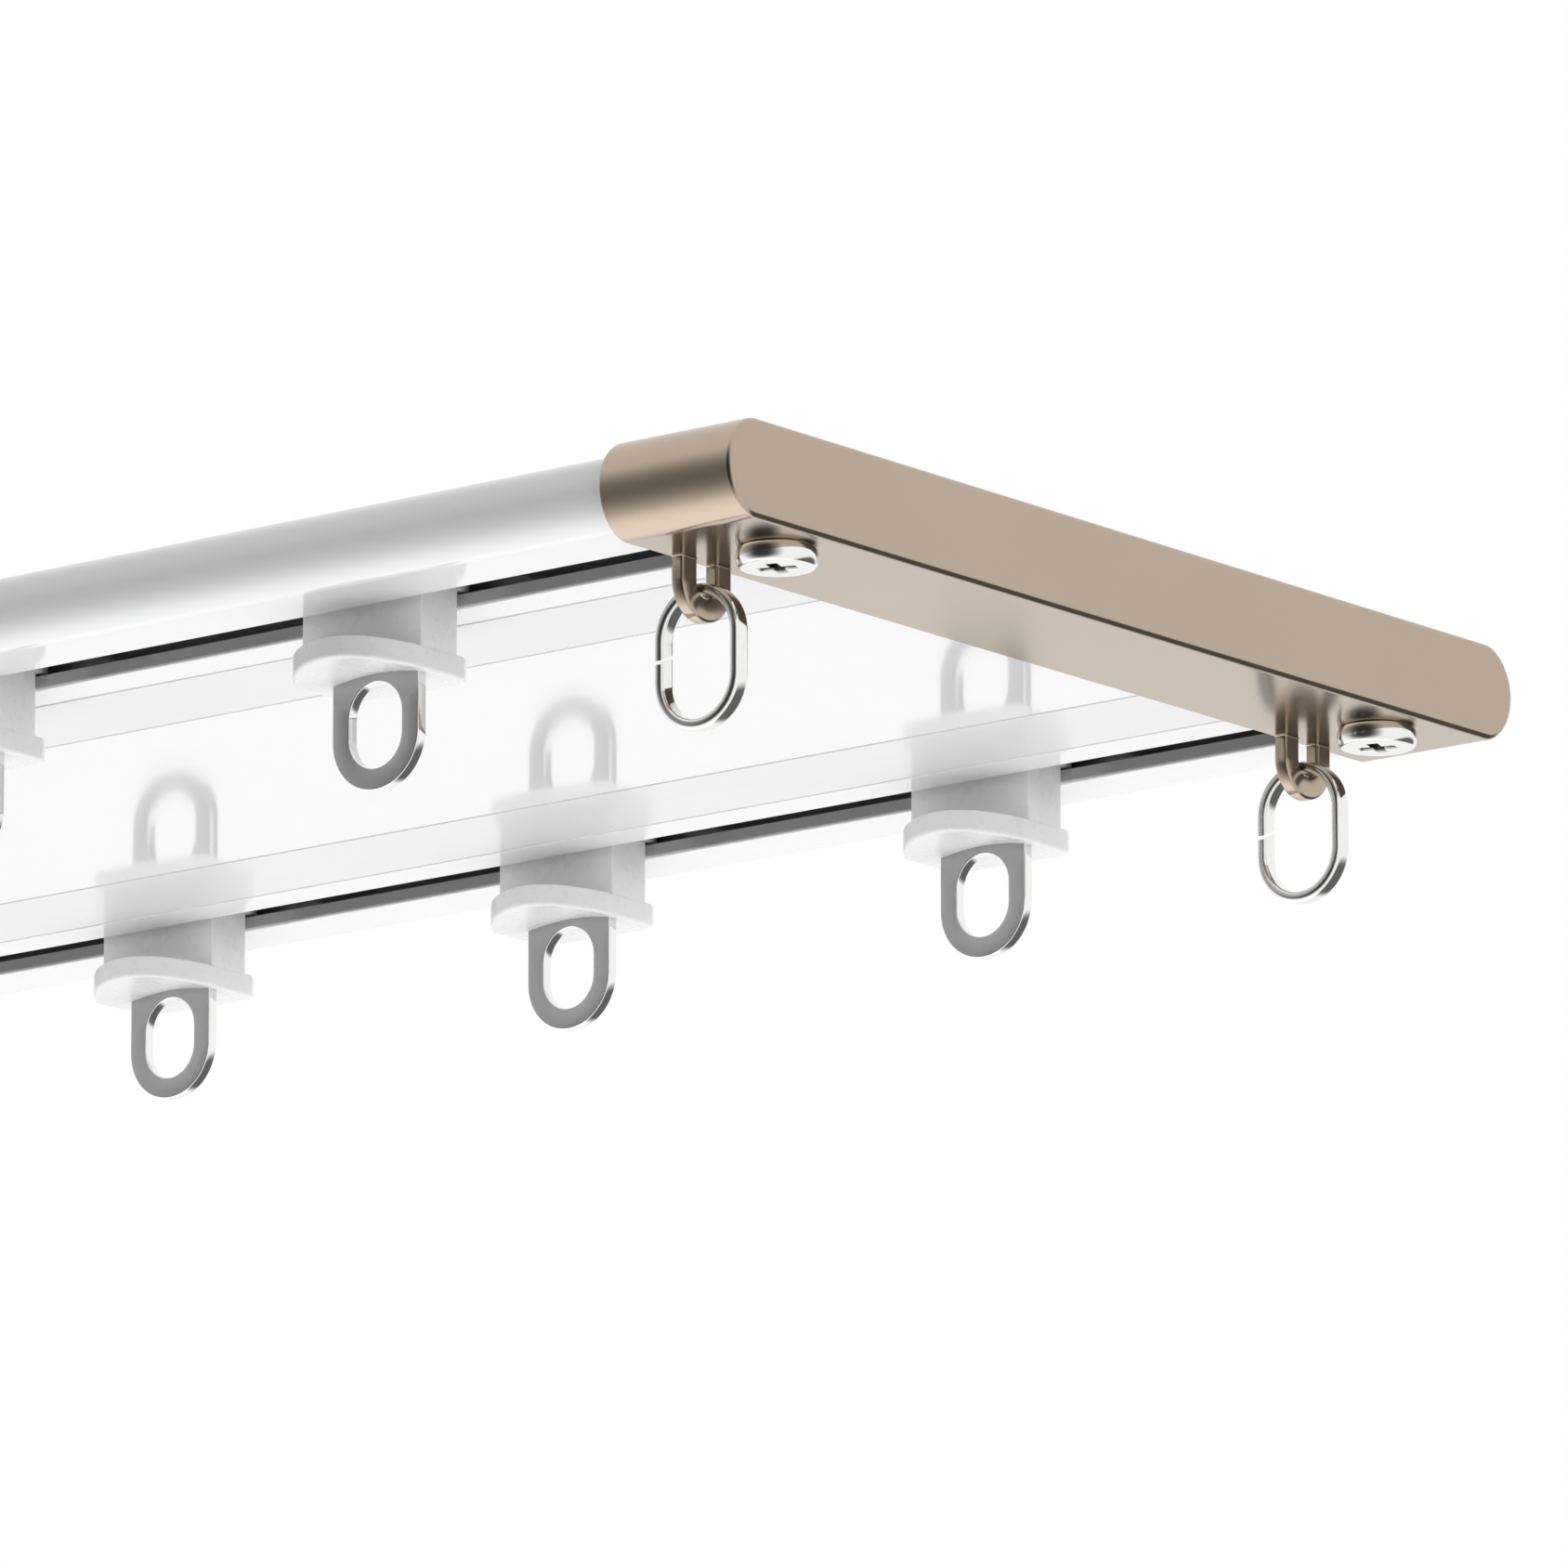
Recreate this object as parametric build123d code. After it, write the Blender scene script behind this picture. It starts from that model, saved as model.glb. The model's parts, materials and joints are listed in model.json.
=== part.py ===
from build123d import *
import os

# Double curtain track for a ceiling: a slim two-channel extrusion with a row of eyed gliders in each
# slot, closed at both ends by a screwed-on cap that carries a loop and a hanging link for each row.
# Millimetres. X runs along the track, Y across it from one row to the other, Z up.
# The origin is the middle of the ceiling screws, on the track's top face.

# Track extrusion
track_length = 350.0
track_width = 113.0
track_height = 7.0
nose_radius = 3.72
wall = 1.2
lip_thickness = 1.4
row_inset = 12.5
slot_width = 6.4
channel_width = 12.4
band_offset = 7.7
band_width = 13.2
band_depth = 0.12
edge_radius = 0.2
ceiling_hole_diameter = 4.5
ceiling_hole_inset = 75.0

# End caps, with the loops cast on their undersides
cap_wall = 0.9
cap_clearance = 0.1
cap_end_wall = 1.2
collar_length = 13.7
cap_edge_radius = 0.45
loop_width = 6.9
loop_thickness = 1.4
loop_drop = 5.5
loop_gap = 2.7
loop_edge_chamfer = 0.25

# Cap screws and the plate nuts that they pull down on to the lips
screw_inset = 5.6
head_diameter = 7.4
head_height = 1.85
head_edge_chamfer = 0.4
shank_diameter = 4.0
shank_length = 6.0
shank_hole_clearance = 0.2
thread_clearance = 0.02
recess_span = 4.2
recess_width = 0.9
recess_depth = 1.0
nut_length = 8.0
nut_width = 11.6
nut_thickness = 2.4

# Split links that hang in the loops
link_width = 9.5
link_height = 13.2
link_wire = 1.0
link_depth = 1.8
link_edge_chamfer = 0.3
link_clearance = 0.4
split_gap = 0.35
split_tilt = 25.0
split_height = 0.4

# Gliders: a moulded body with a T head above the slot and a saddle flange below it
gliders_per_row = 6
glider_end_gap = 50.0
glider_length = 14.0
neck_width = 5.0
neck_corner_chamfer = 0.45
head_width = 11.4
head_thickness = 3.0
head_corner_chamfer = 2.5
running_clearance = 0.3
flange_radius = 7.75
flange_top_drop = 3.6
flange_top_sag = 0.8
flange_under_drop = 5.6
flange_under_sag = 0.95
flange_rim_chamfer = 0.4

# Steel eye plates moulded into the glider bodies
eye_width = 10.0
eye_thickness = 1.15
eye_drop = 16.25
eye_hole_width = 6.1
eye_hole_height = 7.9
eye_foot = 2.0
eye_embed = 4.0

# Places worked out from the sizes above
lip_plane = -track_height
mid_height = -track_height / 2
half_length = track_length / 2
row_y = track_width / 2 - row_inset
band_outer = row_y - band_offset
band_inner = band_outer - band_width
nose_centre = track_width / 2 - nose_radius
cap_offset = cap_wall + cap_clearance
cap_under = lip_plane - cap_offset
lip_top = lip_plane + lip_thickness
channel_roof = -wall
loop_centre_z = cap_under - loop_drop + loop_width / 2
loop_seat = loop_centre_z - loop_gap / 2
loop_x = half_length - collar_length + loop_thickness / 2
link_top = loop_seat + link_clearance + link_wire
link_centre_z = link_top - link_height / 2
screw_x = half_length + cap_end_wall - screw_inset
ceiling_hole_x = half_length - ceiling_hole_inset
first_glider_x = -half_length + glider_end_gap
glider_pitch = (track_length - 2 * glider_end_gap) / (gliders_per_row - 1)


def long_side_outline(grow):
    """The track's rounded outline in the YZ plane, grown by an offset or shrunk by a negative one."""
    height = track_height + 2 * grow
    noses = Locations((nose_centre, mid_height), (-nose_centre, mid_height))
    outline = Pos(0, mid_height) * Rectangle(2 * nose_centre, height)
    for place in noses:
        outline += place * Circle(nose_radius + grow)
    return outline & (Pos(0, mid_height) * Rectangle(track_width + 2 * grow, height))


def span(y_low, y_high, z_low, z_high):
    """A rectangle in the YZ plane between two edges each way."""
    size = Rectangle(y_high - y_low, z_high - z_low)
    return Pos((y_low + y_high) / 2, (z_low + z_high) / 2) * size


def make_track():
    channel_inner = row_y - channel_width / 2
    channel_outer = row_y + channel_width / 2
    skin = lip_plane + wall
    profile = long_side_outline(0)
    nose_chamber = long_side_outline(-wall) & span(channel_outer + wall, track_width, skin, channel_roof)
    half = [
        span(wall / 2, band_inner - wall / 2, skin, channel_roof),
        span(band_inner + wall / 2, channel_inner - wall, skin + band_depth, channel_roof),
        span(channel_inner, channel_outer, lip_top, channel_roof),
        span(row_y - slot_width / 2, row_y + slot_width / 2, lip_plane, lip_top),
        span(band_inner, band_outer, lip_plane, lip_plane + band_depth),
        nose_chamber,
    ]
    for hollow in half:
        profile -= hollow
        profile -= mirror(hollow, Plane.YZ)
    slot_sides = (row_y - slot_width / 2, row_y + slot_width / 2)
    edges = [
        corner
        for corner in profile.vertices()
        if abs(corner.Y - lip_plane) < edge_radius / 2
        and any(abs(abs(corner.X) - y) < edge_radius / 2 for y in slot_sides)
    ]
    profile = fillet(edges, edge_radius)
    track = extrude(Plane.YZ * profile, track_length / 2, both=True)
    for x in (-ceiling_hole_x, ceiling_hole_x):
        for y in (-row_y, row_y):
            track -= Pos(x, y, channel_roof / 2) * Cylinder(ceiling_hole_diameter / 2, 2 * wall)
    return track


def make_loop():
    """One U-shaped loop in the YZ plane, hanging from the cap's underside at the row's middle."""
    leg_height = cap_under - loop_centre_z
    outside = Pos(0, loop_centre_z) * Circle(loop_width / 2)
    outside += Pos(0, loop_centre_z + leg_height / 2) * Rectangle(loop_width, leg_height)
    inside = Pos(0, loop_centre_z) * Circle(loop_gap / 2)
    inside += Pos(0, loop_centre_z + leg_height / 2) * Rectangle(loop_gap, leg_height)
    loop = extrude(Plane.YZ * (outside - inside), loop_thickness / 2, both=True)
    rims = loop.faces().sort_by(Axis.X)
    around = [edge for face in (rims[0], rims[-1]) for edge in face.outer_wire().edges()]
    outer = [edge for edge in around if abs(edge.center().Y) > loop_gap or edge.length > loop_width]
    return chamfer(outer, loop_edge_chamfer)


def make_cap():
    """The cap at the +X end: an end wall, a collar round the track, and the two loops."""
    collar_start = half_length - collar_length
    depth = collar_length + cap_end_wall
    section = Plane.YZ.offset(collar_start)
    cap = extrude(section * long_side_outline(cap_offset), depth)
    front = cap.faces().sort_by(Axis.X)[-1]
    cap = fillet(front.edges(), cap_edge_radius)
    cap -= extrude(section * long_side_outline(cap_clearance), collar_length)
    loop = make_loop()
    hole = Cylinder(shank_diameter / 2 + shank_hole_clearance, 4 * cap_wall)
    for y in (-row_y, row_y):
        cap += Pos(loop_x, y, 0) * loop
        cap -= Pos(screw_x, y, cap_under) * hole
    return cap


def make_screw():
    """A pan-head screw that points up from its head, its seat at the local origin."""
    shank_radius = shank_diameter / 2 - thread_clearance
    head = Pos(0, 0, -head_height / 2) * Cylinder(head_diameter / 2, head_height)
    levels = head.edges().group_by(Axis.Z)
    head = chamfer(levels[0] + levels[-1], head_edge_chamfer)
    shank = Pos(0, 0, shank_length / 2) * Cylinder(shank_radius, shank_length)
    wing = Box(recess_span, recess_width, 2 * recess_depth)
    recess = Pos(0, 0, -head_height) * (wing + Rot(0, 0, 90) * wing)
    return head + shank - recess


def make_nut():
    """A plate nut that lies on both lips of a slot, its seat at the local origin."""
    plate = Pos(0, 0, nut_thickness / 2) * Box(nut_length, nut_width, nut_thickness)
    return plate - Pos(0, 0, nut_thickness / 2) * Cylinder(shank_diameter / 2, 2 * nut_thickness)


def make_link():
    """A split oval link in the XZ plane, centred on the local origin, its split on the -X side."""
    straight = link_height - link_width
    ring = SlotCenterToCenter(straight, link_width, rotation=90)
    ring -= SlotCenterToCenter(straight, link_width - 2 * link_wire, rotation=90)
    link = extrude(Plane.XZ * ring, link_depth / 2, both=True)
    sides = link.faces().sort_by(Axis.Y)
    link = chamfer(sides[0].edges() + sides[-1].edges(), link_edge_chamfer)
    cut = Rot(split_tilt, 0, 0) * Box(2 * link_wire, 2 * link_depth, split_gap)
    return link - Pos(-(link_width - link_wire) / 2, 0, split_height) * cut


def arched(z_low, low_sag, z_high, high_sag, length):
    """A region of the XZ plane between two arcs that are highest at its middle."""
    end = length / 2
    with BuildSketch(Plane.XZ) as region:
        with BuildLine():
            ThreePointArc((-end, z_low - low_sag), (0, z_low), (end, z_low - low_sag))
            Line((end, z_low - low_sag), (end, z_high - high_sag))
            ThreePointArc((end, z_high - high_sag), (0, z_high), (-end, z_high - high_sag))
            Line((-end, z_high - high_sag), (-end, z_low - low_sag))
        make_face()
    return region.sketch


def make_eye():
    """The eye plate, with the lip plane as its local zero height."""
    top = -flange_under_drop + eye_embed
    bend = -eye_drop + eye_width / 2
    shape = Pos(0, bend) * Circle(eye_width / 2)
    shape += Pos(0, (top + bend) / 2) * Rectangle(eye_width, top - bend)
    hole_z = -eye_drop + eye_foot + eye_hole_height / 2
    hole = SlotCenterToCenter(eye_hole_height - eye_hole_width, eye_hole_width, rotation=90)
    shape -= Pos(0, hole_z) * hole
    return extrude(Plane.XZ * shape, eye_thickness / 2, both=True)


def make_glider_body(eye):
    """The moulded body round the top of its eye plate, with the lip plane as its local zero height."""
    plan = Circle(flange_radius) & Rectangle(glider_length, 2 * flange_radius)
    flange = extrude(plan, -flange_under_drop - flange_under_sag)
    saddle = arched(-flange_under_drop, flange_under_sag, -flange_top_drop, flange_top_sag, glider_length)
    flange &= extrude(saddle, flange_radius, both=True)
    rim_level = -(flange_top_drop + flange_under_drop) / 2 - flange_top_sag
    rim = [e for e in flange.edges() if abs(e.center().Y) > neck_width and e.center().Z < rim_level]
    flange = chamfer(rim, flange_rim_chamfer)
    neck_low = -flange_top_drop - flange_top_sag
    head_low = lip_thickness + running_clearance
    neck_plan = Rectangle(glider_length, neck_width)
    neck_plan = chamfer(neck_plan.vertices(), neck_corner_chamfer)
    neck = Pos(0, 0, neck_low) * extrude(neck_plan, head_low - neck_low)
    head_plan = Rectangle(glider_length, head_width)
    head_plan = chamfer(head_plan.vertices(), head_corner_chamfer)
    head = Pos(0, 0, head_low) * extrude(head_plan, head_thickness)
    return flange + neck + head - eye


def save(shape, name):
    export_step(shape, f"parts/{name}.step")


os.makedirs("parts", exist_ok=True)

save(make_track(), "track")

cap = make_cap()
save(cap, "end_cap_right")
save(Rot(0, 0, 180) * cap, "end_cap_left")

ends = [(x, y) for x in (-screw_x, screw_x) for y in (-row_y, row_y)]
screw = make_screw()
nut = make_nut()
save(Compound(children=[Pos(x, y, cap_under) * screw for x, y in ends]), "cap_screws")
save(Compound(children=[Pos(x, y, lip_top) * nut for x, y in ends]), "plate_nuts")

link = make_link()
for end_name, x in (("left", -loop_x), ("right", loop_x)):
    for row_name, y in (("front", -row_y), ("back", row_y)):
        save(Pos(x, y, link_centre_z) * link, f"link_{end_name}_{row_name}")

eye = make_eye()
glider_body = make_glider_body(eye)
for row_name, y in (("front", -row_y), ("back", row_y)):
    for number in range(gliders_per_row):
        place = Pos(first_glider_x + number * glider_pitch, y, lip_plane)
        save(place * glider_body, f"glider_{row_name}_{number + 1}")
        save(place * eye, f"glider_eye_{row_name}_{number + 1}")
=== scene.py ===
import bmesh
import bpy
import json
import math
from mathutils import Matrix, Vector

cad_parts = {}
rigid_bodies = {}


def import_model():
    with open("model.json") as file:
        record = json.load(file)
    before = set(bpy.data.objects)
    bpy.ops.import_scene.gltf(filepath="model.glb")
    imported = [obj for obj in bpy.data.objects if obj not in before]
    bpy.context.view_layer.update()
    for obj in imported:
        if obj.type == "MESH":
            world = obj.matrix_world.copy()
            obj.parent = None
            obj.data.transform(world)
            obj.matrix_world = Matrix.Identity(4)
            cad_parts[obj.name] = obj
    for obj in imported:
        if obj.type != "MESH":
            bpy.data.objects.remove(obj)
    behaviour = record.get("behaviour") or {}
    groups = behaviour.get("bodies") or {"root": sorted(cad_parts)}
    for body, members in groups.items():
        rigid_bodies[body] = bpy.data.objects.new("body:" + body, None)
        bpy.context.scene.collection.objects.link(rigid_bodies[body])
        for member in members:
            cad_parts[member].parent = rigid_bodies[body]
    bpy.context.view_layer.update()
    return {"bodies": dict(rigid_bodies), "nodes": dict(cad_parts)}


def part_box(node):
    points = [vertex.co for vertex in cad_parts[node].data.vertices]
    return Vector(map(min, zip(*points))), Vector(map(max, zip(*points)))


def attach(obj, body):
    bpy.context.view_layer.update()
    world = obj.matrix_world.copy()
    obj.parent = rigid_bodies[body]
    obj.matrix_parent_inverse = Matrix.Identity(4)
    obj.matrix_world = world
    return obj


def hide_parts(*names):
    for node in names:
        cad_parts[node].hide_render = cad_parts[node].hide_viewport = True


# A double curtain track seen from below at one capped end.
# Metres, in the part's frame: X along the track, Y from the front row to the back row, Z up.

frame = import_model()
MM = 0.001

# Camera, as solved from the photograph
camera_place = (1.06503, -1.15952, -0.36354)
camera_turn = 38.70
camera_rise = 13.158
camera_lens = 385.26
sensor_width = 36.0

# Track profile
row_y = 44.0 * MM
slot_width = 6.4 * MM
channel_width = 12.4 * MM
nose_radius = 3.72 * MM
nose_blend = 2.0 * MM
wall = 1.2 * MM
lip_thickness = 1.4 * MM
band_inner = 23.1 * MM
band_outer = 36.3 * MM
groove_width = 0.45 * MM
groove_depth = 0.2 * MM
groove_edge = 0.04 * MM
profile_edge = 0.2 * MM
ceiling_hole_radius = 2.25 * MM
ceiling_hole_x = 100.0 * MM
# Painted shade in the slots and channels: how strongly it darkens the slots' walls, and where it fades
# out
slot_shade = 0.6
slot_fade = (0.02 * MM, 0.05 * MM)
channel_fade = (0.05 * MM, 0.1 * MM)
sill_fade = 0.1 * MM

# Caps and their loops
cap_wall = 0.9 * MM
cap_clearance = 0.1 * MM
cap_face_edge = 0.55 * MM
cap_lip_edge = 0.15 * MM
loop_width = 6.9 * MM
loop_thickness = 1.4 * MM
loop_gap = 2.7 * MM
loop_edge = 0.3 * MM
loop_root = 0.15 * MM

# Cap screws
head_radius = 3.7 * MM
head_seat_radius = 3.35 * MM
head_face_radius = 3.22 * MM
head_height = 1.85 * MM
head_belly = 0.85 * MM
head_round = 72.0
recess_span = 3.7 * MM
recess_width = 1.1 * MM
recess_depth = 1.3 * MM
recess_turn = 20.0
wing_mouth = 1.1
wing_tip = 0.45
wing_core = 0.4
# Where painted shade darkens the screws' recesses: radii from each screw's axis, and depths into the
# head
recess_shade_span = (0.6 * recess_span, 0.65 * recess_span)
recess_shade_depth = (0.03 * MM, 0.3 * MM)
shank_radius = 1.98 * MM
shank_length = 6.0 * MM

# Hanging links
link_wire = 1.0 * MM
link_edge = 0.42 * MM
split_gap = 0.35 * MM
split_height = 0.4 * MM
split_tilt = 25.0

# Gliders and their eyes
flange_radius = 7.75 * MM
flange_top_drop = 3.6 * MM
flange_top_sag = 0.8 * MM
flange_under_drop = 5.6 * MM
flange_under_sag = 0.95 * MM
flange_rim = 0.4 * MM
flange_crisp = 0.12 * MM
flange_rings = (0.93, 0.75, 0.55, 0.35, 0.15)
neck_width = 5.0 * MM
neck_corner = 0.15 * MM
neck_inset = 0.03 * MM
head_width = 11.4 * MM
head_corner = 2.5 * MM
running_clearance = 0.3 * MM
overlap = 0.3 * MM
eye_edge = 0.12 * MM
eye_foot = 2.0 * MM
eye_hole_width = 6.1 * MM
eye_hole_height = 7.9 * MM

# Fineness of curves: steps to an arc, and angles in degrees
corner_steps = 5
bend_steps = 36
nose_steps = 36
blend_steps = 8
hole_steps = 40
root_steps = 4
cap_lip_steps = 3
cap_face_steps = 8
screw_steps = 56
belly_steps = 6
crown_steps = 7
flange_steps = 28
flange_crisp_steps = 3
flange_rim_steps = 6
head_corner_steps = 8
eye_edge_steps = 4
eye_ray_step = 3
crease_angle = 32.0

# Studio: a direction's range holds two closenesses to it and the brightness at each
floor_drop = 6.0
floor_half = 15.6
lamp_drop = 1.4
lamp_size = 4.0
lamp_power = 17.5
shade_side = (-0.20, -0.97, -0.10)
shade_range = (-0.2, 0.75, 1.1, 0.16)
flag_side = (-0.05, -0.99, -0.08)
flag_side_range = (0.45, 0.97, 1.0, 0.05)
flag_below = (0.33, 0.76, -0.56)
flag_below_range = (0.80, 0.93, 1.0, 0.13)
soft_box = (-0.55, 0.15, -0.82)
soft_box_range = (0.75, 1.0, 1.0, 1.65)

# Places that the frame gives
track_low, track_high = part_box("track")
half_length = track_high.x
half_width = track_high.y
lip_plane = track_low.z
mid_height = (track_low.z + track_high.z) / 2
half_height = (track_high.z - track_low.z) / 2
nose_centre = half_width - nose_radius
cap_low, cap_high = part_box("end_cap_right")
collar_start = cap_low.x
cap_face = cap_high.x
cap_under = lip_plane - cap_wall - cap_clearance
screw_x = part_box("cap_screws")[1].x - head_radius


# Mesh helpers
def arc(centre, radius, start, end, steps):
    """Points of a circle's arc in a plane, from one angle to another in degrees."""
    angles = [math.radians(start + (end - start) * i / steps) for i in range(steps + 1)]
    return [(centre[0] + radius * math.cos(a), centre[1] + radius * math.sin(a)) for a in angles]


def outward(turn):
    """The unit vector of a turn in degrees."""
    return math.cos(math.radians(turn)), math.sin(math.radians(turn))


def bent(centre, radius, start, end):
    """A path round an arc in a plane, as places with their outward turns in degrees."""
    turns = [start + (end - start) * i / bend_steps for i in range(bend_steps + 1)]
    places = arc(centre, radius, start, end, bend_steps)
    return [(*place, turn) for place, turn in zip(places, turns)]


def quarter(radius, steps):
    """Pairs of sideways and lengthways offsets that round an edge over a quarter turn."""
    turns = [math.radians(90 * i / steps) for i in range(steps + 1)]
    return [(radius * (1 - math.sin(a)), radius * (1 - math.cos(a))) for a in turns]


def rounded_box(width, height, radius, steps=corner_steps):
    """The outline of a rectangle with round corners, centred on the origin."""
    x, y = width / 2 - radius, height / 2 - radius
    corners = [(x, y, 0), (-x, y, 90), (-x, -y, 180), (x, -y, 270)]
    return [p for cx, cy, turn in corners for p in arc((cx, cy), radius, turn, turn + 90, steps)]


def skin(rings, closed=False):
    """Mesh data with a surface through rings of points, closed on itself or with flat ends."""
    mesh = bmesh.new()
    rows = [[mesh.verts.new(p) for p in ring] for ring in rings]
    count = len(rows[0])
    pairs = list(zip(rows, rows[1:]))
    if closed:
        pairs.append((rows[-1], rows[0]))
    for low, high in pairs:
        for i in range(count):
            j = (i + 1) % count
            mesh.faces.new((low[i], low[j], high[j], high[i]))
    if not closed:
        mesh.faces.new(rows[0][::-1])
        mesh.faces.new(rows[-1])
    bmesh.ops.recalc_face_normals(mesh, faces=mesh.faces)
    data = bpy.data.meshes.new("skin")
    mesh.to_mesh(data)
    mesh.free()
    return data


def worked(data, kind, **settings):
    """Mesh data with one modifier worked into it."""
    holder = bpy.data.objects.new("holder", data)
    bpy.context.scene.collection.objects.link(holder)
    modifier = holder.modifiers.new("work", kind)
    for key, value in settings.items():
        setattr(modifier, key, value)
    graph = bpy.context.evaluated_depsgraph_get()
    result = bpy.data.meshes.new_from_object(holder.evaluated_get(graph))
    bpy.data.objects.remove(holder)
    return result


def combined(data, operation, others):
    """Mesh data with other closed meshes united with it or cut out of it."""
    for other in others:
        tool = bpy.data.objects.new("tool", other)
        bpy.context.scene.collection.objects.link(tool)
        data = worked(data, "BOOLEAN", operation=operation, solver="EXACT", object=tool)
        bpy.data.objects.remove(tool)
    return data


def shaded(data, name):
    """Mesh data with a name and smooth shading, its flat faces left flat and its creases sharp."""
    for face in data.polygons:
        face.use_smooth = True
    data.set_sharp_from_angle(angle=math.radians(crease_angle))
    result = worked(data, "WEIGHTED_NORMAL", keep_sharp=True, weight=100)
    result.name = name
    return result


def place(data, name, where, body, slot, node, turn=0.0):
    """Shows mesh data as a piece at a place, riding on a body in the stead of a CAD node."""
    piece = bpy.data.objects.new(name, data)
    bpy.context.scene.collection.objects.link(piece)
    piece.location = where
    piece.rotation_euler.z = turn
    if not data.materials:
        data.materials.append(materials[slot])
    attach(piece, body)
    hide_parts(node)


# Material helpers
def adder(tree):
    """A function that adds a shader node to a tree, with values or sockets for its first inputs."""

    def add(kind, *values, **settings):
        made = tree.nodes.new("ShaderNode" + kind)
        for key, value in settings.items():
            setattr(made, key, value)
        for socket, value in zip(made.inputs, values):
            if isinstance(value, bpy.types.NodeSocket):
                tree.links.new(value, socket)
            elif value is not None:
                socket.default_value = value
        return made

    return add


def new_material(name):
    """A material, its shader node, and functions that add a node and join two sockets."""
    material = bpy.data.materials.new(name)
    material.use_nodes = True
    tree = material.node_tree
    return material, tree.nodes["Principled BSDF"], adder(tree), tree.links.new


def noise(add, where, per_mm, detail=3.0, stretch=(1.0, 1.0, 1.0)):
    """Noise with so many lumps to a millimetre of object space, drawn out along an axis where asked."""
    mapped = add("Mapping", where, (0, 0, 0), (0, 0, 0), [s * per_mm / MM for s in stretch])
    return add("TexNoise", mapped.outputs[0], None, 1.0, detail).outputs[0]


def ranged(add, value, low, high, out_low, out_high):
    """A value moved smoothly from one range to another and held inside it."""
    node = add("MapRange", value, low, high, out_low, out_high, interpolation_type="SMOOTHSTEP")
    return node.outputs[0]


def product(add, first, second):
    """Two values multiplied."""
    return add("Math", first, second, operation="MULTIPLY").outputs[0]


def unsigned(add, value):
    """A value without its sign."""
    return add("Math", value, operation="ABSOLUTE").outputs[0]


def beyond(add, value, mark):
    """How far a value lies beyond a mark."""
    return add("Math", value, mark, operation="SUBTRACT").outputs[0]


def tint(add, value, dark, light):
    """A colour between two, by a value."""
    node = add("Mix", value, data_type="RGBA")
    for socket, colour in ((node.inputs[6], dark), (node.inputs[7], light)):
        if isinstance(colour, bpy.types.NodeSocket):
            node.id_data.links.new(colour, socket)
        else:
            socket.default_value = (*colour, 1)
    return node.outputs[2]


def relief(add, join, shader, height, depth):
    """Surface relief of a depth in metres from a height value."""
    bump = add("Bump")
    bump.inputs["Distance"].default_value = depth
    join(height, bump.inputs["Height"])
    join(bump.outputs[0], shader.inputs["Normal"])


def coated_track():
    """Gloss white lacquer, greyer and duller in two bands, with painted shade darkening the slots and
    channels.
    """
    material, shader, add, join = new_material("coated_track")
    where = add("TexCoord").outputs["Object"]
    axes = add("SeparateXYZ", where).outputs
    across = unsigned(add, axes[1])
    rise = ranged(add, across, band_inner, band_inner + profile_edge, 0.0, 1.0)
    fall = ranged(add, across, band_outer - profile_edge, band_outer, 1.0, 0.0)
    deep = lip_plane + groove_depth
    underside = ranged(add, axes[2], deep, lip_plane + 2 * groove_depth, 1.0, 0.0)
    band = product(add, product(add, rise, fall), underside)
    # Painted shade: a dark streaked grey inside the channels and part way up the slots' walls
    from_row = unsigned(add, beyond(add, across, row_y))
    sill = lip_plane + lip_thickness
    start, end = (channel_width / 2 + step for step in channel_fade)
    in_channel = ranged(add, from_row, start, end, 1.0, 0.0)
    above_sill = ranged(add, axes[2], sill - sill_fade, sill, 0.0, 1.0)
    channel = product(add, in_channel, above_sill)
    start, end = (slot_width / 2 + step for step in slot_fade)
    in_slot = ranged(add, from_row, start, end, 1.0, 0.0)
    edge = lip_plane + profile_edge
    above_edge = ranged(add, axes[2], edge, lip_plane + 2 * profile_edge, 0.0, slot_shade)
    painted_shade_share = add("Math", channel, product(add, in_slot, above_edge), operation="MAXIMUM").outputs[0]
    below_top = ranged(add, axes[2], track_high.z - wall, track_high.z - wall / 2, 1.0, 0.0)
    inside = product(add, painted_shade_share, below_top)
    streaks = noise(add, where, 0.8, stretch=(0.02, 1.0, 1.0))
    cloud = noise(add, where, 0.03)
    lacquer = tint(add, cloud, (0.91, 0.912, 0.915), (0.935, 0.935, 0.935))
    satin = tint(add, streaks, (0.80, 0.80, 0.80), (0.83, 0.83, 0.83))
    # The dark grey of the painted shade in slots and channels
    painted_shade_grey = tint(add, streaks, (0.13, 0.13, 0.135), (0.18, 0.18, 0.18))
    join(tint(add, inside, tint(add, band, lacquer, satin), painted_shade_grey), shader.inputs["Base Color"])
    polish = ranged(add, streaks, 0.3, 0.7, 0.06, 0.09)
    join(add("Mix", band, None, polish, 0.3).outputs[0], shader.inputs["Roughness"])
    shader.inputs["IOR"].default_value = 1.9
    shader.inputs["Coat Weight"].default_value = 0.5
    shader.inputs["Coat Roughness"].default_value = 0.08
    relief(add, join, shader, streaks, 0.0008 * MM)
    return material


def bronze_cap():
    """Champagne anodised casting with a fine even grain."""
    material, shader, add, join = new_material("bronze_cap")
    where = add("TexCoord").outputs["Object"]
    grain = noise(add, where, 5.0, detail=4.0)
    cloud = noise(add, where, 0.05)
    join(tint(add, cloud, (0.455, 0.372, 0.292), (0.480, 0.392, 0.310)), shader.inputs["Base Color"])
    join(ranged(add, grain, 0.3, 0.7, 0.16, 0.2), shader.inputs["Roughness"])
    shader.inputs["Metallic"].default_value = 1.0
    relief(add, join, shader, grain, 0.0004 * MM)
    return material


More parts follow.
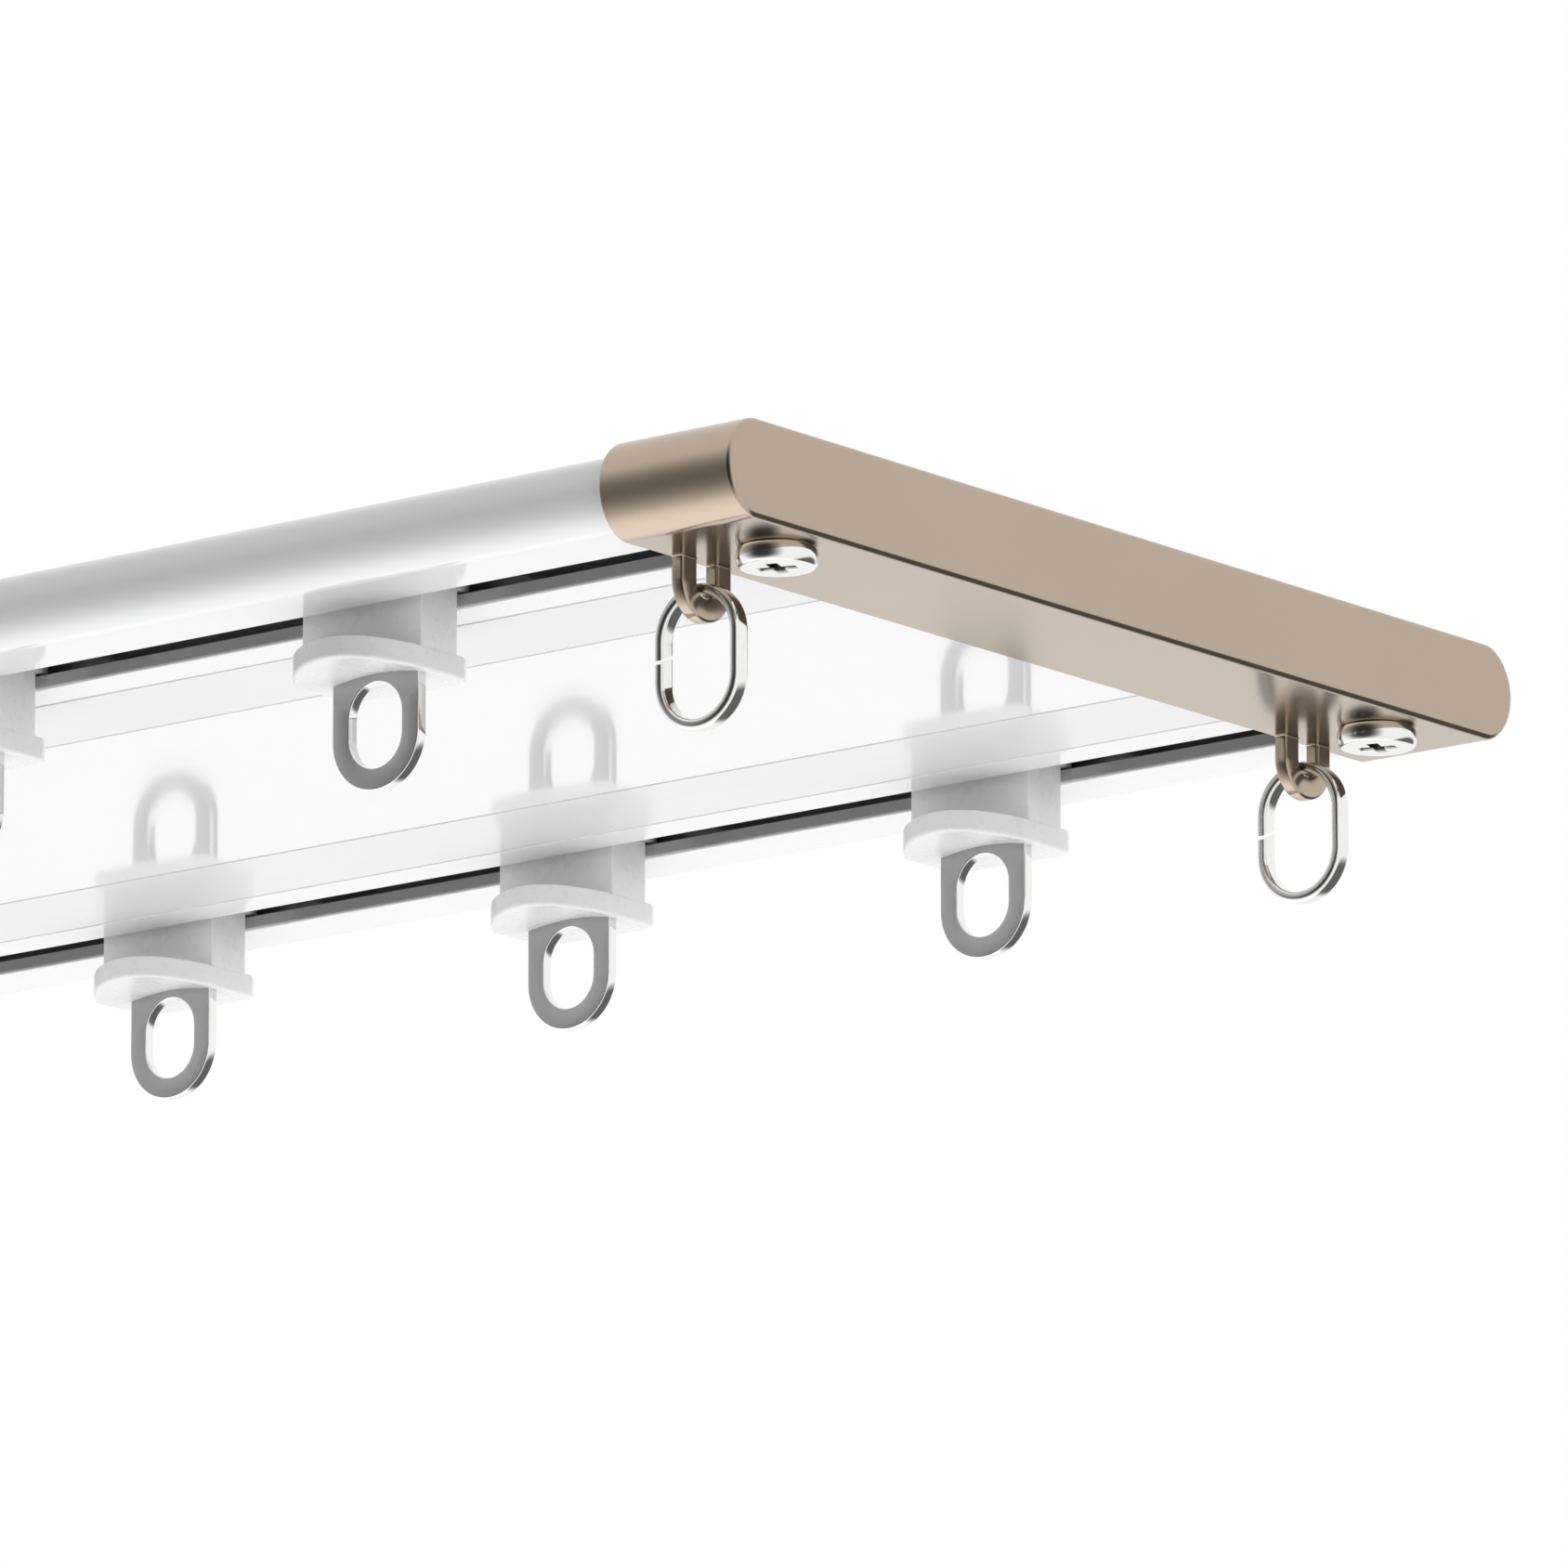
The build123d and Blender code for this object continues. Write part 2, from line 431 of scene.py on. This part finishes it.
def bright_steel():
    """Bright steel with faint marks, duller on faces square to Y, with painted shade darkening the
    screws' recesses.
    """
    material, shader, add, join = new_material("bright_steel")
    coordinates = add("TexCoord")
    where = coordinates.outputs["Object"]
    marks = noise(add, where, 1.5, detail=1.0)
    facing = add("SeparateXYZ", coordinates.outputs["Normal"]).outputs[1]
    side = ranged(add, unsigned(add, facing), 0.9, 0.99, 0.0, 1.0)
    # Painted shade: near-black in each screw's recess, by distance from the screw's axis and height
    # above its face
    axes = add("SeparateXYZ", where).outputs
    off_x = beyond(add, unsigned(add, axes[0]), screw_x)
    off_y = beyond(add, unsigned(add, axes[1]), row_y)
    offset = add("CombineXYZ", off_x, off_y, 0.0).outputs[0]
    radius = add("VectorMath", offset, operation="LENGTH").outputs["Value"]
    within = ranged(add, radius, *recess_shade_span, 1.0, 0.0)
    start, end = (cap_under - head_height + depth for depth in recess_shade_depth)
    recess = product(add, within, ranged(add, axes[2], start, end, 0.0, 1.0))
    polished = tint(add, marks, (0.83, 0.825, 0.815), (0.90, 0.895, 0.885))
    plain = tint(add, side, polished, (0.53, 0.527, 0.52))
    # Near-black painted shade in the recesses
    join(tint(add, recess, plain, (0.05, 0.05, 0.05)), shader.inputs["Base Color"])
    polish = ranged(add, marks, 0.35, 0.75, 0.07, 0.12)
    join(add("Mix", side, None, polish, 0.17).outputs[0], shader.inputs["Roughness"])
    shader.inputs["Metallic"].default_value = 1.0
    return material


def zinc_plate():
    """Dull zinc plating with a mottled bloom."""
    material, shader, add, join = new_material("zinc_plate")
    where = add("TexCoord").outputs["Object"]
    bloom = noise(add, where, 0.8, detail=5.0)
    join(tint(add, bloom, (0.50, 0.51, 0.53), (0.62, 0.63, 0.64)), shader.inputs["Base Color"])
    join(ranged(add, bloom, 0.3, 0.7, 0.3, 0.45), shader.inputs["Roughness"])
    shader.inputs["Metallic"].default_value = 1.0
    return material


def glider_nylon():
    """Natural white nylon: waxy, a little see-through and faintly uneven in its sheen."""
    material, shader, add, join = new_material("glider_nylon")
    where = add("TexCoord").outputs["Object"]
    sheen = noise(add, where, 0.7, detail=1.0)
    cloud = noise(add, where, 0.25)
    join(tint(add, cloud, (0.90, 0.902, 0.905), (0.94, 0.94, 0.94)), shader.inputs["Base Color"])
    join(ranged(add, sheen, 0.3, 0.7, 0.26, 0.34), shader.inputs["Roughness"])
    shader.inputs["Subsurface Weight"].default_value = 0.05
    shader.inputs["Subsurface Radius"].default_value = (1.0, 1.0, 1.0)
    shader.inputs["Subsurface Scale"].default_value = 0.8 * MM
    return material


def eye_steel():
    """Stamped plate: satin on its two faces, bright along the punched edges."""
    material, shader, add, join = new_material("eye_steel")
    coordinates = add("TexCoord")
    where = coordinates.outputs["Object"]
    facing = add("SeparateXYZ", coordinates.outputs["Normal"]).outputs[1]
    face = ranged(add, unsigned(add, facing), 0.75, 0.97, 0.0, 1.0)
    lines = noise(add, where, 1.6, detail=4.0, stretch=(1.0, 1.0, 0.12))
    satin = ranged(add, lines, 0.3, 0.7, 0.38, 0.46)
    join(add("Mix", face, None, 0.06, satin).outputs[0], shader.inputs["Roughness"])
    plain = tint(add, lines, (0.49, 0.49, 0.49), (0.53, 0.53, 0.525))
    join(tint(add, face, (0.88, 0.88, 0.875), plain), shader.inputs["Base Color"])
    shader.inputs["Metallic"].default_value = 1.0
    relief(add, join, shader, lines, 0.0006 * MM)
    return material


materials = {
    make.__name__: make()
    for make in (coated_track, bronze_cap, bright_steel, zinc_plate, glider_nylon, eye_steel)
}


# Track
def nose(grow):
    """The track's rounded +Y side, grown by an offset, from its flat top to its flat underside."""
    rise = half_height - nose_blend
    run = math.sqrt((nose_radius - nose_blend) ** 2 - rise**2)
    turn = math.degrees(math.atan2(rise, run))
    blend, y = nose_blend + grow, nose_centre + run
    outline = arc((y, mid_height + rise), blend, 90, turn, blend_steps)
    outline += arc((nose_centre, mid_height), nose_radius + grow, turn, -turn, nose_steps)[1:-1]
    return outline + arc((y, mid_height - rise), blend, -turn, -90, blend_steps)


def both_sides(half):
    """A symmetric outline from its half on the +Y side."""
    return half + [(-y, z) for y, z in reversed(half)]


def lip_edge(y, side, edge=profile_edge):
    """A rounded corner at the lip plane: side is 1 where the solid lies on the outer side of it."""
    if side > 0:
        return arc((y + edge, lip_plane + edge), edge, 270, 180, corner_steps)
    return arc((y - edge, lip_plane + edge), edge, 0, -90, corner_steps)


def make_track():
    """The extrusion: two slots with channels, grooves at its bands, and four ceiling holes."""
    half_slot, half_channel = slot_width / 2, channel_width / 2
    roof = track_high.z - wall
    sill = lip_plane + lip_thickness
    deep = lip_plane + groove_depth
    right = nose(0) + lip_edge(row_y + half_slot, 1)
    right += [(row_y + half_slot, sill), (row_y + half_channel, sill), (row_y + half_channel, roof)]
    right += [(row_y - half_channel, roof), (row_y - half_channel, sill), (row_y - half_slot, sill)]
    right += lip_edge(row_y - half_slot, -1)
    grooves = ((band_outer, band_outer - groove_width), (band_inner + groove_width, band_inner))
    for outer, inner in grooves:
        right += lip_edge(outer, 1, groove_edge) + [(outer, deep), (inner, deep)]
        right += lip_edge(inner, -1, groove_edge)
    outline = both_sides(right)
    bar = skin([[(x, y, z) for y, z in outline] for x in (-half_length, half_length)])
    drills = []
    for x in (-ceiling_hole_x, ceiling_hole_x):
        for y in (-row_y, row_y):
            ring = arc((x, y), ceiling_hole_radius, 0, 360, hole_steps)[:-1]
            ends = (roof - wall, track_high.z + wall)
            drills.append(skin([[(px, py, z) for px, py in ring] for z in ends]))
    data = shaded(combined(bar, "DIFFERENCE", drills), "extrusion")
    place(data, "extrusion", (0, 0, 0), "track", "coated_track", "track")


# End caps
def cap_ring(grow, x):
    """The track's outline grown by an offset, as a ring at one place along the track."""
    return [(x, y, z) for y, z in both_sides(nose(grow))]


def loop_bar(y):
    """One U-shaped loop under the cap, its two roots flared out a little where they leave it."""
    bar = (loop_width - loop_gap) / 2
    reach = (loop_width - bar) / 2
    bend_z = cap_low.z + loop_width / 2
    centre_x = collar_start + loop_thickness / 2
    root = [(-reach, cap_under + cap_wall / 2, 180, loop_root)]
    root += [(-reach, cap_under - down, 180, out) for out, down in quarter(loop_root, root_steps)]
    path = root + [(*place, 0) for place in bent((0, bend_z), reach, 180, 360)]
    path += [(-u, w, 360, grow) for u, w, turn, grow in reversed(root)]
    rings = []
    for u, w, turn, grow in path:
        out_u, out_w = outward(turn)
        shape = rounded_box(bar + 2 * grow, loop_thickness + grow, loop_edge + grow / 2)
        shape = [(r, centre_x + (d + grow / 2)) for r, d in shape]
        rings.append([(x, y + (u + r * out_u), w + r * out_w) for r, x in shape])
    return skin(rings)


def make_caps():
    """Both caps from one mesh: from inside the end wall round the collar to the face, with two loops."""
    outer, inner = cap_wall + cap_clearance, cap_clearance
    rings = [cap_ring(inner, half_length)]
    lip_round = quarter(cap_lip_edge, cap_lip_steps)
    face_round = quarter(cap_face_edge, cap_face_steps)
    rings += [cap_ring(inner + out, collar_start + along) for along, out in lip_round]
    rings += [cap_ring(outer - down, collar_start + along) for down, along in lip_round]
    rings += [cap_ring(outer - down, cap_face - along) for along, down in face_round]
    data = combined(skin(rings), "UNION", [loop_bar(-row_y), loop_bar(row_y)])
    data = shaded(data, "cap")
    place(data, "cap_right", (0, 0, 0), "track", "bronze_cap", "end_cap_right")
    place(data, "cap_left", (0, 0, 0), "track", "bronze_cap", "end_cap_left", math.pi)


# Screws
def turned(outline):
    """Rings of points from an outline of radii and heights."""
    circle = arc((0, 0), 1, 0, 360, screw_steps)[:-1]
    return [[(r * x, r * y, z) for x, y in circle] for r, z in outline]


def recess_wing(turn):
    """One wing of the cross, from just outside the head's face, tapering into the head."""
    c, s = outward(turn)
    outside = -head_height - recess_depth / 4
    rings = []
    for z, share in ((outside, wing_mouth), (-head_height + recess_depth, wing_tip)):
        wide = recess_span / 2 * share
        thick = recess_width / 2 * (wing_core + (1 - wing_core) * share)
        corners = ((wide, thick), (-wide, thick), (-wide, -thick), (wide, -thick))
        rings.append([(x * c - y * s, x * s + y * c, z) for x, y in corners])
    return skin(rings)


def make_screws():
    """Four pan-head screws that point up, each with a round-sided head and a tapered cross recess."""
    upper, lower = head_radius - head_seat_radius, head_radius - head_face_radius
    outline = [(shank_radius, shank_length), (shank_radius, 0)]
    for step in range(belly_steps + 1):
        turn = math.radians(90 * step / belly_steps)
        outline.append((head_seat_radius + upper * math.sin(turn), -head_belly * (1 - math.cos(turn))))
    for step in range(1, crown_steps + 1):
        turn = math.radians(head_round * step / crown_steps)
        drop = (head_height - head_belly) * math.sin(turn)
        outline.append((head_face_radius + lower * math.cos(turn), -head_belly - drop))
    outline.append((head_face_radius, -head_height))
    wings = [recess_wing(recess_turn), recess_wing(recess_turn + 90)]
    seed = combined(skin(turned(outline)), "DIFFERENCE", wings)
    mesh = bmesh.new()
    for x in (-screw_x, screw_x):
        for y in (-row_y, row_y):
            start = len(mesh.verts)
            mesh.from_mesh(seed)
            mesh.verts.ensure_lookup_table()
            bmesh.ops.translate(mesh, verts=mesh.verts[start:], vec=(x, y, cap_under))
    data = bpy.data.meshes.new("screws")
    mesh.to_mesh(data)
    mesh.free()
    place(shaded(data, "screws"), "screws", (0, 0, 0), "track", "bright_steel", "cap_screws")


# Links
def link_data(width, height, depth):
    """An oval link in its own XZ plane, swept from one side of its slanted split round to the other."""
    reach = (width - link_wire) / 2
    straight = (height - width) / 2
    slant = math.tan(math.radians(split_tilt))
    shape = rounded_box(link_wire, depth, link_edge)
    path = [(-reach, split_height - split_gap / 2, 180, slant)]
    path += [(*place, 0) for place in bent((0, -straight), reach, 180, 360)]
    path += [(*place, 0) for place in bent((0, straight), reach, 0, 180)]
    path.append((-reach, split_height + split_gap / 2, 180, slant))
    rings = []
    for x, z, turn, lean in path:
        out_x, out_z = outward(turn)
        rings.append([(x + r * out_x, d, z + r * out_z + d * lean) for r, d in shape])
    return shaded(skin(rings), "link")


def make_links():
    """The four hanging links, all from one mesh."""
    low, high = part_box("link_right_front")
    size = high - low
    data = link_data(size.x, size.z, size.y)
    for side in ("left", "right"):
        for row in ("front", "back"):
            node = f"link_{side}_{row}"
            low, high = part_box(node)
            place(data, f"ring_{side}_{row}", (low + high) / 2, node, "bright_steel", node)


# Gliders
def cut_disc(inset, half):
    """The flange's outline: a disc cut flush at both ends, drawn in by an inset."""
    radius, half = flange_radius - inset, half - inset
    corner = math.degrees(math.acos(half / radius))
    back = arc((0, 0), radius, corner, 180 - corner, flange_steps)
    return back + arc((0, 0), radius, 180 + corner, 360 - corner, flange_steps)


def flange_data(half):
    """The saddle flange, arched along the track above and below, its own zero height at the lips."""

    def top(x):
        return -flange_top_drop - flange_top_sag * (x / half) ** 2

    def under(x):
        return -flange_under_drop - flange_under_sag * (x / half) ** 2

    flat = [half * share for share in flange_rings]
    rings = [[(x, y, top(x)) for x, y in cut_disc(inset, half)] for inset in flat]
    for inset, drop in quarter(flange_crisp, flange_crisp_steps):
        rings.append([(x, y, top(x) - drop) for x, y in cut_disc(inset, half)])
    for inset, rise in reversed(quarter(flange_rim, flange_rim_steps)):
        rings.append([(x, y, under(x) + rise) for x, y in cut_disc(inset, half)])
    rings += [[(x, y, under(x)) for x, y in cut_disc(inset, half)] for inset in reversed(flat)]
    return skin(rings)


def glider_data(length, head_top, eye):
    """The moulded body round the top of its eye plate: flange, neck and head."""
    neck_low = -flange_top_drop - flange_top_sag - overlap
    head_low = lip_thickness + running_clearance
    neck = rounded_box(length - 2 * neck_inset, neck_width, neck_corner)
    neck = skin([[(x, y, z) for x, y in neck] for z in (neck_low, head_low + overlap)])
    head = rounded_box(length, head_width, head_corner, head_corner_steps)
    head = skin([[(x, y, z) for x, y in head] for z in (head_low, head_top)])
    body = combined(flange_data(length / 2), "UNION", [neck, head])
    return shaded(combined(body, "DIFFERENCE", [eye]), "glider")


def reach_to(angle, side, drop):
    """How far a ray from an oval's centre runs: to a straight side, or to a round end.

    Side is half the oval's width, and drop is how far the round end's own centre lies from the oval's.
    """
    across, down = abs(math.cos(angle)), abs(math.sin(angle))
    if side * down <= drop * across:
        return side / across
    return drop * down + math.sqrt(side**2 - (drop * across) ** 2)


def eye_data(width, thickness, top_z, bottom_z):
    """The eye plate in its own XZ plane, its own zero height at the lips, with an oval hole."""
    hole_z = bottom_z + eye_foot + eye_hole_height / 2
    drop = hole_z - bottom_z - width / 2
    corner = math.atan2(top_z - hole_z, width / 2)
    turns = sorted([math.radians(a) for a in range(0, 360, eye_ray_step)] + [corner, math.pi - corner])

    def outer(inset):
        """The plate's outline, drawn in by an inset, as rays from the hole's centre meet it."""
        side, points = width / 2 - inset, []
        for a in turns:
            reach = reach_to(a, side, drop)
            if corner <= a <= math.pi - corner:
                reach = (top_z - hole_z - inset) / math.sin(a)
            elif math.sin(a) > 0:
                reach = side / abs(math.cos(a))
            points.append((reach * math.cos(a), hole_z + reach * math.sin(a)))
        return points

    def hole(grow):
        """The hole's outline, widened by an amount, on the same rays."""
        side, straight = eye_hole_width / 2 + grow, (eye_hole_height - eye_hole_width) / 2
        reaches = [reach_to(a, side, straight) for a in turns]
        return [(reach * math.cos(a), hole_z + reach * math.sin(a)) for a, reach in zip(turns, reaches)]

    half = thickness / 2
    edge = [(along, out) for out, along in quarter(eye_edge, eye_edge_steps)]
    rings = [[(x, half - along, z) for x, z in hole(out)] for along, out in edge]
    rings += [[(x, along - half, z) for x, z in hole(out)] for along, out in reversed(edge)]
    rings += [[(x, along - half, z) for x, z in outer(out)] for along, out in edge]
    rings += [[(x, half - along, z) for x, z in outer(out)] for along, out in reversed(edge)]
    return skin(rings, closed=True)


def make_gliders():
    """The gliders and their eyes, each kind from one mesh."""
    low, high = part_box("glider_eye_front_1")
    eye = eye_data(high.x - low.x, high.y - low.y, high.z - lip_plane, low.z - lip_plane)
    low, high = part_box("glider_front_1")
    body_mesh = glider_data(high.x - low.x, high.z - lip_plane, eye)
    eye_mesh = shaded(eye, "eye")
    for body in frame["bodies"]:
        if not body.startswith("glider"):
            continue
        low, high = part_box(body)
        where = ((low.x + high.x) / 2, (low.y + high.y) / 2, lip_plane)
        place(body_mesh, body.replace("glider", "runner"), where, body, "glider_nylon", body)
        node = body.replace("glider_", "glider_eye_")
        place(eye_mesh, body.replace("glider", "eye"), where, body, "eye_steel", node)


make_track()
make_caps()
make_screws()
make_links()
make_gliders()

# The plate nuts keep their CAD shape
for slot in frame["nodes"]["plate_nuts"].material_slots:
    slot.material = materials["zinc_plate"]


# Studio
def make_floor():
    """A plain pale floor, far below as under a ceiling, as white in view as the room behind it."""
    mesh = bmesh.new()
    bmesh.ops.create_grid(mesh, x_segments=1, y_segments=1, size=floor_half)
    data = bpy.data.meshes.new("floor")
    mesh.to_mesh(data)
    mesh.free()
    floor = bpy.data.objects.new("floor", data)
    floor.location.z = -floor_drop
    floor.visible_glossy = False
    bpy.context.scene.collection.objects.link(floor)
    material, shader, add, join = new_material("floor")
    grain = noise(add, add("TexCoord").outputs["Object"], 0.01)
    join(tint(add, grain, (0.90, 0.90, 0.90), (0.92, 0.92, 0.92)), shader.inputs["Base Color"])
    shader.inputs["Roughness"].default_value = 0.8
    white = add("Emission", (1, 1, 1, 1), 1.0)
    camera_ray = add("LightPath").outputs["Is Camera Ray"]
    shown = add("MixShader", camera_ray, shader.outputs[0], white.outputs[0])
    join(shown.outputs[0], material.node_tree.nodes["Material Output"].inputs["Surface"])
    data.materials.append(material)


def make_lamp():
    """A large soft lamp that lights the underside."""
    data = bpy.data.lights.new("below", "AREA")
    data.size = lamp_size
    data.energy = lamp_power
    lamp = bpy.data.objects.new("below", data)
    lamp.location.z = -lamp_drop
    lamp.rotation_euler.x = math.pi
    lamp.visible_camera = False
    lamp.visible_glossy = False
    bpy.context.scene.collection.objects.link(lamp)


def make_world():
    """White in view, soft light from all but one side, and in gloss two flags and a soft box."""
    world = bpy.data.worlds.new("studio")
    bpy.context.scene.world = world
    world.use_nodes = True
    tree = world.node_tree
    tree.nodes.clear()
    add = adder(tree)
    direction = add("TexCoord").outputs["Generated"]

    def toward(side):
        size = math.sqrt(sum(s * s for s in side))
        unit = [s / size for s in side]
        return add("VectorMath", direction, unit, operation="DOT_PRODUCT").outputs["Value"]

    light = ranged(add, toward(shade_side), *shade_range)
    beside = ranged(add, toward(flag_side), *flag_side_range)
    under = ranged(add, toward(flag_below), *flag_below_range)
    box = ranged(add, toward(soft_box), *soft_box_range)
    gloss = product(add, product(add, beside, under), box)
    rays = add("LightPath").outputs
    seen = add("Math", rays["Is Camera Ray"], rays["Is Transmission Ray"], operation="MAXIMUM")
    soft = add("Background", (1, 1, 1, 1), light)
    sharp = add("Background", (1, 1, 1, 1), gloss)
    white = add("Background", (1, 1, 1, 1), 1.0)
    lit = add("MixShader", rays["Is Glossy Ray"], soft.outputs[0], sharp.outputs[0])
    shown = add("MixShader", seen.outputs[0], lit.outputs[0], white.outputs[0])
    output = tree.nodes.new("ShaderNodeOutputWorld")
    tree.links.new(shown.outputs[0], output.inputs["Surface"])


def make_camera():
    """The view that was solved from the photograph."""
    data = bpy.data.cameras.new("camera")
    data.sensor_width = sensor_width
    data.lens = camera_lens
    camera = bpy.data.objects.new("camera", data)
    camera.location = camera_place
    camera.rotation_euler = (math.radians(90 + camera_rise), 0, math.radians(camera_turn))
    bpy.context.scene.collection.objects.link(camera)
    bpy.context.scene.camera = camera


make_floor()
make_lamp()
make_world()
make_camera()
bpy.context.scene.view_settings.view_transform = "Standard"
